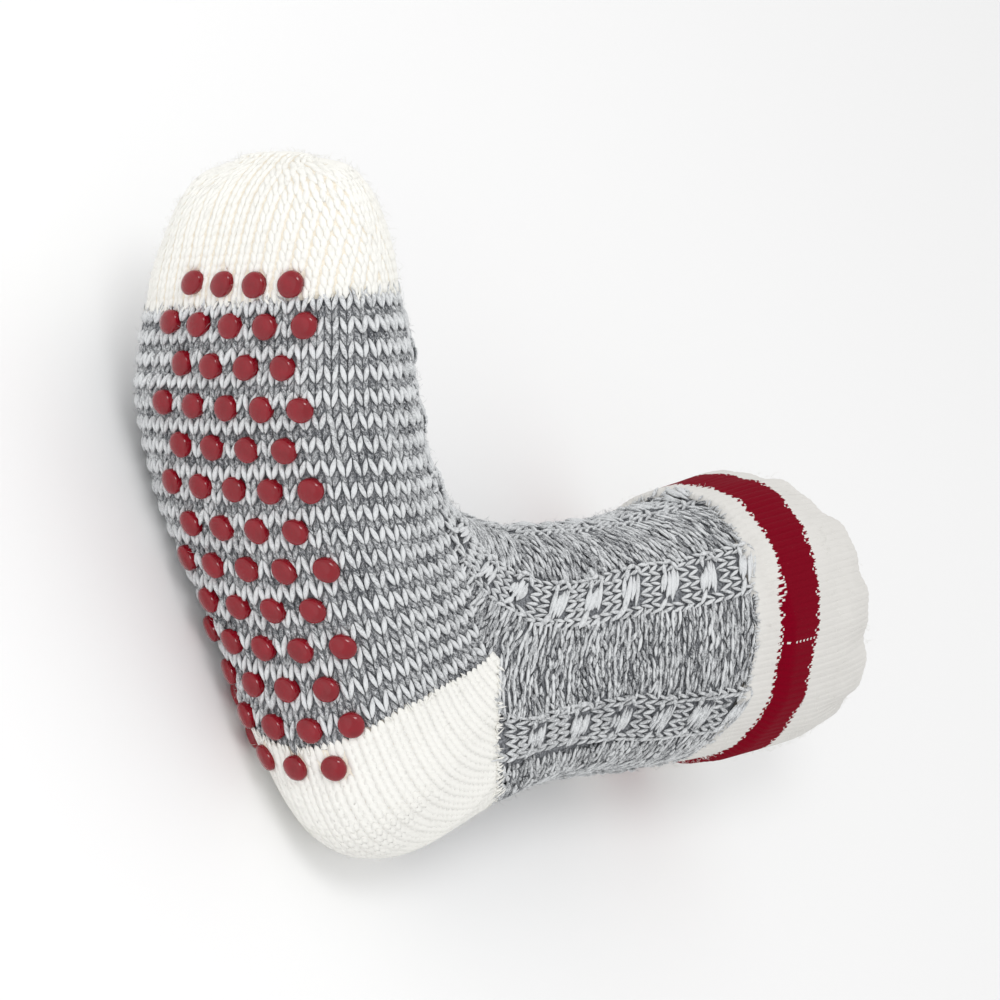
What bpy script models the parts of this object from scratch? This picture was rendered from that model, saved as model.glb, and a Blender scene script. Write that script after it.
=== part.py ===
# Slipper sock with a dotted grip sole, in metres, lying on its side as a worn sock that keeps its form.
# Foot directions: along runs from the back of the heel to the toe, up runs from the sole to the cuff,
# aside runs across the foot, towards the side that lies uppermost.
import math

import bmesh
import bpy
import numpy as np
from mathutils import Matrix, Vector
from mathutils.bvhtree import BVHTree

# The knitted tube
FOOT_LENGTH = 0.248
ANKLE_DEPTH = 0.092
SOCK_HEIGHT = 0.286
BEND_HEIGHT = 0.146
HEEL_RISE = 0.038
BALL_WIDTH = 0.108
HEEL_WIDTH = 0.073
LEG_WIDTH = 0.104
LEG_DEPTH = 0.108
WALL = 0.0035
TIP_ROUND = 0.003

# The cuff, a step in the wall with a rounded rim
CUFF_LENGTH = 0.062
CUFF_PROUD = 0.003
CUFF_SLOPE = 0.004

# How far the sections are from a plain oval: 2 is an ellipse, more is squarer
SOLE_SQUARE = 2.48
TOP_SQUARE = 1.97
LEG_SQUARE = 2.05
WIDEST_SHARE = 0.40

# The forefoot is rolled a little, and the sock lies on its heel, ball and cuff
FOOT_ROLL = 5.4
REST_TURN = 20.7
REST_TIP = 4.0
PRESS = 0.0016

# The grip dots
DOT_WIDTH = 0.0096
DOT_HEIGHT = 0.0015
DOT_GAP = 0.00035
DOT_START = 0.0449
DOT_ROW_PITCH = 0.0141
DOT_PITCH = 0.0152
DOT_ROWS = 13
DOT_COUNTS = (4, 5)
DOT_MIDDLES = (0.0072, 0.0022, -0.0089)

# Sections of the foot from the toe to the heel. Each leans from a point on the sole to one on the top.
# Along is 0 at the back of the heel, 1 at the front of the ankle and 2 at the toe. Up is a share of
# HEEL_RISE on the sole side and of BEND_HEIGHT on top, half a share of the width named, aside of BALL_WIDTH.
FOOT_COLUMNS = ("sole_along", "sole_up", "top_along", "top_up", "width", "half", "aside")
FOOT_SECTIONS = (
    (2.000, 0.50, 2.000, 0.220, "ball", 0.150, -0.030),
    (1.974, 0.33, 1.980, 0.275, "ball", 0.275, -0.035),
    (1.928, 0.17, 1.942, 0.318, "ball", 0.340, -0.045),
    (1.850, 0.06, 1.870, 0.365, "ball", 0.395, -0.070),
    (1.740, -0.03, 1.758, 0.412, "ball", 0.445, -0.112),
    (1.595, -0.06, 1.620, 0.446, "ball", 0.488, -0.155),
    (1.445, -0.05, 1.477, 0.470, "ball", 0.510, -0.182),
    (1.280, -0.01, 1.332, 0.510, "ball", 0.490, -0.182),
    (1.105, 0.01, 1.200, 0.586, "ball", 0.442, -0.146),
    (0.890, 0.02, 1.111, 0.680, "ball", 0.394, -0.095),
    (0.630, 0.00, 1.063, 0.765, "heel", 0.534, -0.059),
    (0.390, 0.03, 1.035, 0.832, "heel", 0.507, -0.030),
    (0.185, 0.18, 1.015, 0.886, "heel", 0.500, -0.007),
    (0.055, 0.53, 1.004, 0.934, "heel", 0.497, 0.000),
    (0.004, 1.00, 0.988, 1.005, "heel", 0.512, 0.000),
)

# Sections of the leg from the ankle to the rim. Back and front are shares of LEG_DEPTH, their rises go
# from the heel and from the bend to the rim, half and aside are shares of LEG_WIDTH.
LEG_COLUMNS = ("back", "back_rise", "front", "front_rise", "half", "aside")
LEG_SECTIONS = (
    (0.014, 0.09, 0.820, 0.055, 0.372, 0.000),
    (0.024, 0.20, 0.806, 0.110, 0.385, 0.016),
    (0.009, 0.315, 0.790, 0.190, 0.406, 0.031),
    (-0.056, 0.44, 0.771, 0.285, 0.426, 0.048),
    (-0.130, 0.56, 0.759, 0.405, 0.447, 0.064),
    (-0.190, 0.68, 0.742, 0.550, 0.462, 0.082),
    (-0.238, 0.795, 0.728, 0.700, 0.474, 0.096),
    (-0.275, 0.905, 0.712, 0.855, 0.480, 0.108),
    (-0.290, 1.000, 0.680, 1.000, 0.472, 0.116),
)

# The share of FOOT_LENGTH over which the forefoot rolls, and the height of the roll's axis
ROLL_FROM = 0.24
ROLL_OVER = 0.61
ROLL_UP = 0.205

# Mesh fineness
AROUND = 40
TOE_RINGS = 7
BODY_RINGS = 34
CUFF_RINGS = 9
TOE_SHARE = 0.085
INNER_RINGS = 32
RIM_STEPS = 4
DOME_SHARES = (0.35, 0.7)
INNER_START = 0.022
FINE_RINGS = 240
FINE_AROUND = 256
DOT_AROUND = 10
DOT_RINGS = ((1.0, 0.45), (0.72, 0.86))


def smooth(share):
    share = np.clip(share, 0.0, 1.0)
    return share * share * (3 - 2 * share)


def section_rows():
    """Each section as sole or back point, top or front point, half width and place aside, in metres."""
    widths = {"ball": BALL_WIDTH, "heel": HEEL_WIDTH}
    stations = ((0, 1, 2), (0, ANKLE_DEPTH, FOOT_LENGTH))
    rows = []
    for values in FOOT_SECTIONS:
        row = dict(zip(FOOT_COLUMNS, values))
        sole = (np.interp(row["sole_along"], *stations), row["sole_up"] * HEEL_RISE)
        top = (np.interp(row["top_along"], *stations), row["top_up"] * BEND_HEIGHT)
        rows.append((*sole, *top, row["half"] * widths[row["width"]], row["aside"] * BALL_WIDTH))
    for values in LEG_SECTIONS:
        row = dict(zip(LEG_COLUMNS, values))
        back = (row["back"] * LEG_DEPTH, HEEL_RISE + row["back_rise"] * (SOCK_HEIGHT - HEEL_RISE))
        front = (row["front"] * LEG_DEPTH, BEND_HEIGHT + row["front_rise"] * (SOCK_HEIGHT - BEND_HEIGHT))
        rows.append((*back, *front, row["half"] * LEG_WIDTH, row["aside"] * LEG_WIDTH))
    return np.array(rows)


def row_places(rows):
    """Where each section sits between the toe at 0 and the rim at 1, by the length of its two edges."""
    lower = np.hypot(*np.diff(rows[:, 0:2], axis=0).T)
    upper = np.hypot(*np.diff(rows[:, 2:4], axis=0).T)
    reach = np.concatenate([[0], np.cumsum(lower + upper)])
    return reach / reach[-1]


def smooth_rows(places, rows, wanted):
    """Values between the rows on a cubic curve that never overshoots them."""
    step = np.diff(places)[:, None]
    slope = np.diff(rows, axis=0) / step
    tangent = np.zeros_like(rows)
    tangent[0], tangent[-1] = slope[0], slope[-1]
    before, after = slope[:-1], slope[1:]
    same = before * after > 0
    one, two = 2 * step[1:] + step[:-1], step[1:] + 2 * step[:-1]
    mean = (one + two) / (one / np.where(same, before, 1) + two / np.where(same, after, 1))
    tangent[1:-1] = np.where(same, mean, 0)
    at = np.clip(np.searchsorted(places, wanted, side="right") - 1, 0, len(places) - 2)
    s = ((wanted - places[at]) / step[at, 0])[:, None]
    start = (2 * s**3 - 3 * s**2 + 1) * rows[at] + (s**3 - 2 * s**2 + s) * step[at] * tangent[at]
    end = (3 * s**2 - 2 * s**3) * rows[at + 1] + (s**3 - s**2) * step[at] * tangent[at + 1]
    return start + end


def tube_points(places, around, cuff=True):
    """Points of the tube's outside, one ring for each place, in foot directions."""
    rows = section_rows()
    foot = np.clip((13 - np.arange(len(rows))) / 3, 0, 1)
    widest = 0.5 + (WIDEST_SHARE - 0.5) * foot
    sole_square = LEG_SQUARE + (SOLE_SQUARE - LEG_SQUARE) * foot
    top_square = LEG_SQUARE + (TOP_SQUARE - LEG_SQUARE) * foot
    table = np.column_stack([rows, widest, sole_square, top_square])
    values = smooth_rows(row_places(rows), table, np.asarray(places, float))
    low_along, low_up, high_along, high_up, half, aside, widest, sole_square, top_square = values.T[:, :, None]
    if cuff:
        in_leg = np.asarray(places)[:, None] > 0.5
        level = (low_up + high_up) / 2 - (SOCK_HEIGHT - CUFF_LENGTH)
        proud = np.where(in_leg, CUFF_PROUD * smooth(level / CUFF_SLOPE), 0)
        low_along, high_along, half = low_along - proud, high_along + proud, half + proud
    angle = (np.arange(around) / around * 2 * math.pi)[None, :]
    cosine, sine = np.cos(angle), np.sin(angle)
    power = 2 / np.where(cosine > 0, top_square, sole_square)
    lift = np.sign(cosine) * np.abs(cosine) ** power
    side = np.sign(sine) * np.abs(sine) ** power
    share = np.where(lift > 0, widest + (1 - widest) * lift, widest + widest * lift)
    along = low_along * (1 - share) + high_along * share
    up = low_up * (1 - share) + high_up * share
    across = half * side + aside
    roll = smooth((along / FOOT_LENGTH - ROLL_FROM) / ROLL_OVER) * math.radians(FOOT_ROLL)
    axis_up = ROLL_UP * BEND_HEIGHT
    rolled_up = axis_up + (up - axis_up) * np.cos(roll) - across * np.sin(roll)
    rolled_across = across * np.cos(roll) + (up - axis_up) * np.sin(roll)
    return np.stack([along, rolled_up, rolled_across], -1)


def outward(points):
    """Unit normals of a grid of rings, and the direction from ring to ring."""
    onward = np.gradient(points, axis=0)
    around = np.roll(points, -1, axis=1) - np.roll(points, 1, axis=1)
    normal = np.cross(onward, around)
    normal /= np.linalg.norm(normal, axis=2, keepdims=True)
    onward = onward / np.linalg.norm(onward, axis=2, keepdims=True)
    return normal, onward


def laid(points):
    """Foot directions turned to the resting pose: the toe towards -X, the leg towards +Y."""
    turn, tip = math.radians(REST_TURN), math.radians(REST_TIP)
    x, y, z = -points[..., 0], points[..., 1], points[..., 2]
    x, z = x * math.cos(turn) + z * math.sin(turn), z * math.cos(turn) - x * math.sin(turn)
    y, z = y * math.cos(tip) - z * math.sin(tip), z * math.cos(tip) + y * math.sin(tip)
    return np.stack([x, y, z], -1)


def ring_places():
    """Places of the outer rings: even along the foot and leg, closer at the toe and where the cuff steps out."""
    rows = section_rows()
    middle = (rows[:, 1] + rows[:, 3]) / 2
    leg = slice(len(FOOT_SECTIONS), None)
    start = np.interp(SOCK_HEIGHT - CUFF_LENGTH, middle[leg], row_places(rows)[leg])
    toe = TOE_SHARE * np.linspace(0, 1, TOE_RINGS, endpoint=False) ** 1.3
    body = np.linspace(TOE_SHARE, start, BODY_RINGS, endpoint=False)
    return np.concatenate([toe, body, start + (1 - start) * np.linspace(0, 1, CUFF_RINGS) ** 1.6])


def knit_rings():
    """Rings of the closed wall in order: toe, outside, rim, inside, toe again."""
    outside = tube_points(ring_places(), AROUND)
    normal, onward = outward(outside)
    inner_places = np.linspace(1, INNER_START, INNER_RINGS)
    core = tube_points(inner_places, AROUND, cuff=False)
    core_normal, _ = outward(core[::-1])
    inside = core - core_normal[::-1] * WALL
    rim_half = (WALL + CUFF_PROUD) / 2
    middle = outside[-1] - normal[-1] * rim_half
    rim = []
    for step in range(1, RIM_STEPS):
        angle = math.pi * step / RIM_STEPS
        rim.append(middle + (normal[-1] * math.cos(angle) + onward[-1] * math.sin(angle)) * rim_half)
    dome = []
    centre = outside[0].mean(axis=0)
    for share in DOME_SHARES:
        ring = centre + (outside[0] - centre) * share
        dome.append(ring + np.array([TIP_ROUND * (1 - share**2), 0, 0]))
    tip = centre + np.array([TIP_ROUND, 0, 0])
    inner_tip = inside[-1].mean(axis=0)
    return np.array([*dome, *outside]), np.array(rim), inside, tip, inner_tip


def new_object(name, mesh, material):
    mesh.materials.append(material)
    mesh.shade_smooth()
    piece = bpy.data.objects.new(name, mesh)
    bpy.context.scene.collection.objects.link(piece)
    return piece


def make_material(name, colour, roughness):
    material = bpy.data.materials.new(name)
    material.use_nodes = True
    shader = material.node_tree.nodes["Principled BSDF"]
    shader.inputs["Base Color"].default_value = (*colour, 1)
    shader.inputs["Roughness"].default_value = roughness
    shader.inputs["Metallic"].default_value = 0
    return material


def settled(points, level):
    """The resting pose, lowered so that its pressed underside is at height 0."""
    return laid(points) - np.array([0, 0, level])


def make_knit(material):
    """The sock itself: one hollow knitted piece, open at the rim, pressed flat where it lies."""
    parts = knit_rings()
    level = laid(parts[0])[..., 2].min() + PRESS
    outer, rim, inside, tip, inner_tip = (settled(part, level) for part in parts)
    outer[..., 2] = np.maximum(outer[..., 2], 0)
    rim[..., 2] = np.maximum(rim[..., 2], 0)
    inside[..., 2] = np.maximum(inside[..., 2], WALL)
    work = bmesh.new()
    rings = [[work.verts.new(point) for point in ring] for ring in (*outer, *rim, *inside)]
    for near, far in zip(rings, rings[1:]):
        for k in range(AROUND):
            after = (k + 1) % AROUND
            work.faces.new((near[k], near[after], far[after], far[k]))
    for ring, end, flip in ((rings[0], tip, False), (rings[-1], inner_tip, True)):
        pole = work.verts.new(end)
        for k in range(AROUND):
            pair = (ring[(k + 1) % AROUND], ring[k])
            work.faces.new((*(pair[::-1] if flip else pair), pole))
    bmesh.ops.recalc_face_normals(work, faces=work.faces)
    if work.calc_volume(signed=True) < 0:
        bmesh.ops.reverse_faces(work, faces=work.faces)
    mesh = bpy.data.meshes.new("sock_knit")
    work.to_mesh(mesh)
    work.free()
    return new_object("sock_knit", mesh, material), level


def dot_places():
    """The centre of each grip dot on the sole: row, number, place from toe to rim, ring position."""
    places = np.linspace(0, 1, FINE_RINGS)
    grid = tube_points(places, FINE_AROUND)
    sole = grid[:, FINE_AROUND // 2]
    run = np.concatenate([[0], np.cumsum(np.linalg.norm(np.diff(sole, axis=0), axis=1))])
    found = []
    for row in range(DOT_ROWS):
        at = np.interp(DOT_START + row * DOT_ROW_PITCH, run, np.arange(FINE_RINGS))
        ring = grid[int(at)] * (1 - at % 1) + grid[min(int(at) + 1, FINE_RINGS - 1)] * (at % 1)
        where = 2 * row / (DOT_ROWS - 1) - 1
        toe, mid, heel = DOT_MIDDLES
        middle = mid + (heel - toe) / 2 * where + ((heel + toe) / 2 - mid) * where**2
        count = DOT_COUNTS[row % len(DOT_COUNTS)]
        for number in range(count):
            across = middle + (number - (count - 1) / 2) * DOT_PITCH
            found.append((row + 1, number + 1, ring_point(ring, across)))
    return found


def ring_point(ring, across):
    """The point a given way round a ring from the sole's middle line, in foot directions."""
    half = len(ring) // 2
    order = np.arange(half, -1, -1) if across >= 0 else np.arange(half, len(ring))
    side = ring[order]
    run = np.concatenate([[0], np.cumsum(np.linalg.norm(np.diff(side, axis=0), axis=1))])
    return np.array([np.interp(abs(across), run, side[:, axis]) for axis in range(3)])


def make_dots(knit, level, material):
    """One soft dome for each dot, draped on the sole with a small gap under it."""
    tree = BVHTree.FromObject(knit, bpy.context.evaluated_depsgraph_get())
    for row, number, centre in dot_places():
        place = Vector(settled(centre, level))
        spot, normal, _, _ = tree.find_nearest(place)
        sideways = normal.orthogonal().normalized()
        forward = normal.cross(sideways)
        work = bmesh.new()

        def draped(share, angle, lift):
            flat = sideways * math.cos(angle) + forward * math.sin(angle)
            start = spot + flat * (share * DOT_WIDTH / 2)
            hit, _, _, _ = tree.ray_cast(start + normal * DOT_WIDTH, -normal, 3 * DOT_WIDTH)
            return work.verts.new((hit or start) + normal * (DOT_GAP + lift))

        turns = [2 * math.pi * k / DOT_AROUND for k in range(DOT_AROUND)]
        rings = [[draped(1.0, angle, 0) for angle in turns]]
        rings += [[draped(share, angle, rise * DOT_HEIGHT) for angle in turns] for share, rise in DOT_RINGS]
        crown = draped(0, 0, DOT_HEIGHT)
        base = draped(0, 0, 0)
        for near, far in zip(rings, rings[1:]):
            for k in range(DOT_AROUND):
                after = (k + 1) % DOT_AROUND
                work.faces.new((near[k], near[after], far[after], far[k]))
        for k in range(DOT_AROUND):
            after = (k + 1) % DOT_AROUND
            work.faces.new((rings[-1][k], rings[-1][after], crown))
            work.faces.new((rings[0][after], rings[0][k], base))
        bmesh.ops.recalc_face_normals(work, faces=work.faces)
        mesh = bpy.data.meshes.new(f"grip_dot_{row:02d}_{number}")
        work.to_mesh(mesh)
        work.free()
        new_object(mesh.name, mesh, material)


def centre_pieces():
    """Every mesh moved so that the box round all of them is centred over the origin."""
    meshes = [piece.data for piece in bpy.context.scene.collection.objects]
    corners = np.array([vertex.co[:] for mesh in meshes for vertex in mesh.vertices])
    middle = (corners.min(axis=0) + corners.max(axis=0)) / 2
    for mesh in meshes:
        mesh.transform(Matrix.Translation((-middle[0], -middle[1], 0)))


for old in list(bpy.data.objects):
    bpy.data.objects.remove(old)

wool = make_material("ragg_wool", (0.62, 0.62, 0.62), 0.95)
grip = make_material("grip_red", (0.42, 0.015, 0.04), 0.28)
sock, floor = make_knit(wool)
make_dots(sock, floor, grip)
centre_pieces()
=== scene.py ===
# Slipper sock with a dotted grip sole: the knit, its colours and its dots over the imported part.
import math
import bpy
import numpy as np
from mathutils import Matrix


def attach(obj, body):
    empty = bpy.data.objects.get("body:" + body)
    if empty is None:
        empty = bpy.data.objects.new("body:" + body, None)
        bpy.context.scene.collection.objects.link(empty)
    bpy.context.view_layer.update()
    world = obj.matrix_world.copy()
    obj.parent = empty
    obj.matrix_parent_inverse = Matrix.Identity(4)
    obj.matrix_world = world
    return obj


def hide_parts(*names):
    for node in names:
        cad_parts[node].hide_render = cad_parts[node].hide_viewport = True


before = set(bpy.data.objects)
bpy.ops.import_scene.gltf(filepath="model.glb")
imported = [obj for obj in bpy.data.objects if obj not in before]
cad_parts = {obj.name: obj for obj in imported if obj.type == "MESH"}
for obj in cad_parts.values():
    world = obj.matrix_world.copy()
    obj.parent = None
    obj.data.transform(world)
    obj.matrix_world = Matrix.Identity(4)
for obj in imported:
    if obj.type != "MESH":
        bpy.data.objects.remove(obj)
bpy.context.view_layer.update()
print("frame loaded:", len(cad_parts), "nodes")

# The worn form, in metres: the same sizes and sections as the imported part
wornForm = {
    "footLength": 0.248, "ankleDepth": 0.092, "sockHeight": 0.286, "bendHeight": 0.146, "heelRise": 0.038,
    "ballWidth": 0.108, "heelWidth": 0.073, "legWidth": 0.104, "legDepth": 0.108,
    "soleSquare": 2.48, "topSquare": 1.97, "legSquare": 2.05, "widestShare": 0.40,
    "wall": 0.0035, "tipRound": 0.0022, "cuffLength": 0.062, "cuffProud": 0.003, "cuffSlope": 0.004,
    "footRoll": 5.4, "rollFrom": 0.24, "rollOver": 0.61, "rollUp": 0.205,
    "restTurn": 20.7, "restTip": 4.0, "restLevel": -0.01627806, "restShift": (0.10041854, -0.14127520),
}
# Columns: the sole along and up, the top along and up, 0 for the ball's width or 1 for the heel's, half, aside
footSections = np.array([
    (2.000, 0.50, 2.000, 0.220, 0, 0.150, -0.030), (1.974, 0.33, 1.980, 0.275, 0, 0.275, -0.035),
    (1.928, 0.17, 1.942, 0.318, 0, 0.340, -0.045), (1.850, 0.06, 1.870, 0.365, 0, 0.395, -0.070),
    (1.740, -0.03, 1.758, 0.412, 0, 0.445, -0.112), (1.595, -0.06, 1.620, 0.446, 0, 0.488, -0.155),
    (1.445, -0.05, 1.477, 0.470, 0, 0.510, -0.182), (1.280, -0.01, 1.332, 0.510, 0, 0.490, -0.182),
    (1.105, 0.01, 1.200, 0.586, 0, 0.442, -0.146), (0.890, 0.02, 1.111, 0.680, 0, 0.394, -0.095),
    (0.630, 0.00, 1.063, 0.765, 1, 0.534, -0.059), (0.390, 0.03, 1.035, 0.832, 1, 0.507, -0.030),
    (0.185, 0.18, 1.015, 0.886, 1, 0.500, -0.007), (0.055, 0.53, 1.004, 0.934, 1, 0.497, 0.000),
    (0.004, 1.00, 0.988, 1.005, 1, 0.512, 0.000)])
# Columns: the back and its rise, the front and its rise, half, aside
legSections = np.array([
    (0.014, 0.09, 0.820, 0.055, 0.372, 0.000), (0.024, 0.20, 0.806, 0.110, 0.385, 0.016),
    (0.009, 0.315, 0.790, 0.190, 0.406, 0.031), (-0.056, 0.44, 0.771, 0.285, 0.426, 0.048),
    (-0.130, 0.56, 0.759, 0.405, 0.447, 0.064), (-0.190, 0.68, 0.742, 0.550, 0.462, 0.082),
    (-0.238, 0.795, 0.728, 0.700, 0.474, 0.096), (-0.275, 0.905, 0.712, 0.855, 0.480, 0.108),
    (-0.290, 1.000, 0.680, 1.000, 0.472, 0.116)])


def easeIn(share):
    share = np.clip(share, 0.0, 1.0)
    return share * share * (3 - 2 * share)


def sectionRows():
    f = wornForm
    rows = []
    for soleAlong, soleUp, topAlong, topUp, atHeel, half, aside in footSections:
        along = np.interp((soleAlong, topAlong), (0, 1, 2), (0, f["ankleDepth"], f["footLength"]))
        width = f["heelWidth"] if atHeel else f["ballWidth"]
        rows.append((along[0], soleUp * f["heelRise"], along[1], topUp * f["bendHeight"],
                     half * width, aside * f["ballWidth"]))
    for back, backRise, front, frontRise, half, aside in legSections:
        backUp = f["heelRise"] + backRise * (f["sockHeight"] - f["heelRise"])
        frontUp = f["bendHeight"] + frontRise * (f["sockHeight"] - f["bendHeight"])
        rows.append((back * f["legDepth"], backUp, front * f["legDepth"], frontUp,
                     half * f["legWidth"], aside * f["legWidth"]))
    return np.array(rows)


def rowPlaces(rows):
    lower = np.hypot(*np.diff(rows[:, 0:2], axis=0).T)
    upper = np.hypot(*np.diff(rows[:, 2:4], axis=0).T)
    reach = np.concatenate([[0], np.cumsum(lower + upper)])
    return reach / reach[-1]


def betweenRows(places, rows, wanted):  # a cubic curve through the rows that never overshoots them
    step = np.diff(places)[:, None]
    slope = np.diff(rows, axis=0) / step
    tangent = np.zeros_like(rows)
    tangent[0], tangent[-1] = slope[0], slope[-1]
    before, after = slope[:-1], slope[1:]
    same = before * after > 0
    one, two = 2 * step[1:] + step[:-1], step[1:] + 2 * step[:-1]
    mean = (one + two) / (one / np.where(same, before, 1) + two / np.where(same, after, 1))
    tangent[1:-1] = np.where(same, mean, 0)
    at = np.clip(np.searchsorted(places, wanted, side="right") - 1, 0, len(places) - 2)
    s = ((wanted - places[at]) / step[at, 0])[:, None]
    start = (2 * s**3 - 3 * s**2 + 1) * rows[at] + (s**3 - 2 * s**2 + s) * step[at] * tangent[at]
    end = (3 * s**2 - 2 * s**3) * rows[at + 1] + (s**3 - s**2) * step[at] * tangent[at + 1]
    return start + end


def tubePoints(places, angle, cuff=True):  # one ring for each place, in foot directions
    f = wornForm
    rows = sectionRows()
    foot = np.clip((13 - np.arange(len(rows))) / 3, 0, 1)
    widest = 0.5 + (f["widestShare"] - 0.5) * foot
    soleSquare = f["legSquare"] + (f["soleSquare"] - f["legSquare"]) * foot
    topSquare = f["legSquare"] + (f["topSquare"] - f["legSquare"]) * foot
    table = np.column_stack([rows, widest, soleSquare, topSquare])
    values = betweenRows(rowPlaces(rows), table, np.asarray(places, float))
    lowAlong, lowUp, highAlong, highUp, half, aside, widest, soleSquare, topSquare = values.T[:, :, None]
    if cuff:
        inLeg = np.asarray(places)[:, None] > 0.5
        level = (lowUp + highUp) / 2 - (f["sockHeight"] - f["cuffLength"])
        proud = np.where(inLeg, f["cuffProud"] * easeIn(level / f["cuffSlope"]), 0)
        lowAlong, highAlong, half = lowAlong - proud, highAlong + proud, half + proud
    cosine, sine = np.cos(angle)[None, :], np.sin(angle)[None, :]
    power = 2 / np.where(cosine > 0, topSquare, soleSquare)
    lift = np.sign(cosine) * np.abs(cosine) ** power
    side = np.sign(sine) * np.abs(sine) ** power
    share = np.where(lift > 0, widest + (1 - widest) * lift, widest + widest * lift)
    along = lowAlong * (1 - share) + highAlong * share
    up = lowUp * (1 - share) + highUp * share
    across = half * side + aside
    roll = easeIn((along / f["footLength"] - f["rollFrom"]) / f["rollOver"]) * math.radians(f["footRoll"])
    axisUp = f["rollUp"] * f["bendHeight"]
    rolledUp = axisUp + (up - axisUp) * np.cos(roll) - across * np.sin(roll)
    rolledAcross = across * np.cos(roll) + (up - axisUp) * np.sin(roll)
    return np.stack([along, rolledUp, rolledAcross], -1)


def turned(x, y, z):  # directions of the upright foot to those of the resting pose
    turn, tip = math.radians(wornForm["restTurn"]), math.radians(wornForm["restTip"])
    x, z = x * math.cos(turn) + z * math.sin(turn), z * math.cos(turn) - x * math.sin(turn)
    y, z = y * math.cos(tip) - z * math.sin(tip), z * math.cos(tip) + y * math.sin(tip)
    return x, y, z


def laidDown(points):  # spots of the upright foot, laid down on the floor
    x, y, z = turned(-points[..., 0], points[..., 1], points[..., 2])
    shift = wornForm["restShift"]
    return np.stack([x + shift[0], y + shift[1], z - wornForm["restLevel"]], -1)


# The skin that every stitch is seated on. Place runs from the toe at 0 to the rim at 1, a little below 0 over
# the tip. Girth is 0 along the sole and the back of the leg and 1 along the top, plus on the side that lies up.
skin = {"places": 620, "halfGirth": 180, "tipRows": 9}
skin["low"] = -skin["tipRows"] / (skin["places"] - 1)  # the place at the tip's end
floorGap = 0.0002  # wool stays this far above the floor
# The main creases, the same on both sides: place, girth, half length along and across in millimetres, turn, and
# depth in millimetres, below 0 for a ridge
folds = (
    (0.452, 0.600, 14, 4.5, 8, 1.7), (0.488, 0.720, 10, 4, -20, 1.4), (0.474, 0.800, 5, 11, 0, -1.3),
    (0.470, 1.000, 3.5, 26, 0, 1.8), (0.440, 1.000, 5, 24, 0, -1), (0.505, 1.000, 5, 24, 0, -1),
    (0.520, 0.420, 9, 6, 30, 1.1), (0.600, 0.160, 5, 24, 6, 1.2), (0.690, 0.520, 4, 20, -8, 0.8),
    (0.650, 0.560, 5, 20, -6, -0.8), (0.760, 0.300, 5, 22, 10, 0.8), (0.735, 0.900, 5, 18, 0, 0.7),
    (0.340, 0.480, 13, 12, 0, 1), (0.250, 0.640, 10, 9, 0, 0.9), (0.128, 0.550, 7, 30, 0, 1.2),
    (0.060, 0.150, 10, 12, 0, -0.8), (0.163, 0.150, 9, 12, 0, 1.2), (0.186, 0.250, 6, 12, 0, -1.6),
    (0.800, 0.000, 6, 24, 0, 0.9), (0.560, 0.750, 6, 14, -15, 0.9), (0.930, 0.250, 9, 10, 0, -1),
    (0.940, 0.550, 8, 9, 0, 0.9))


def girthGrid(points):  # rings resampled so that girth is even in length on either side
    half = skin["halfGirth"]
    even = np.linspace(0, 1, half + 1)
    out = np.empty((len(points), 2 * half + 1, 3))
    lengths = np.empty((len(points), 2))
    for row, ring in enumerate(points):
        for side, part in enumerate((ring[half::-1], ring[half:])):
            run = np.concatenate([[0], np.cumsum(np.linalg.norm(np.diff(part, axis=0), axis=1))])
            spread = np.stack([np.interp(even * run[-1], run, part[:, axis]) for axis in range(3)], -1)
            lengths[row, side] = run[-1]
            if side:
                out[row, half:] = spread
            else:
                out[row, half::-1] = spread
    return out, lengths


def skinFrame(points):
    alongStep = np.gradient(points, axis=0) * (skin["places"] - 1)
    ringStep = np.gradient(points, axis=1) * skin["halfGirth"]
    ringStep[:, 0] = ringStep[:, -1] = (points[:, 1] - points[:, -2]) * skin["halfGirth"] / 2
    normal = np.cross(alongStep, ringStep)
    if (normal * (points - points.mean(axis=1, keepdims=True))).sum() < 0:
        normal = -normal
    for _ in range(4):  # evens out the facets of the clamped underside
        normal[1:-1] = (normal[:-2] + 2 * normal[1:-1] + normal[2:]) / 4
        normal[:, 1:-1] = (normal[:, :-2] + 2 * normal[:, 1:-1] + normal[:, 2:]) / 4
    return alongStep, ringStep, normal / (np.linalg.norm(normal, axis=2, keepdims=True) + 1e-12)


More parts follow.
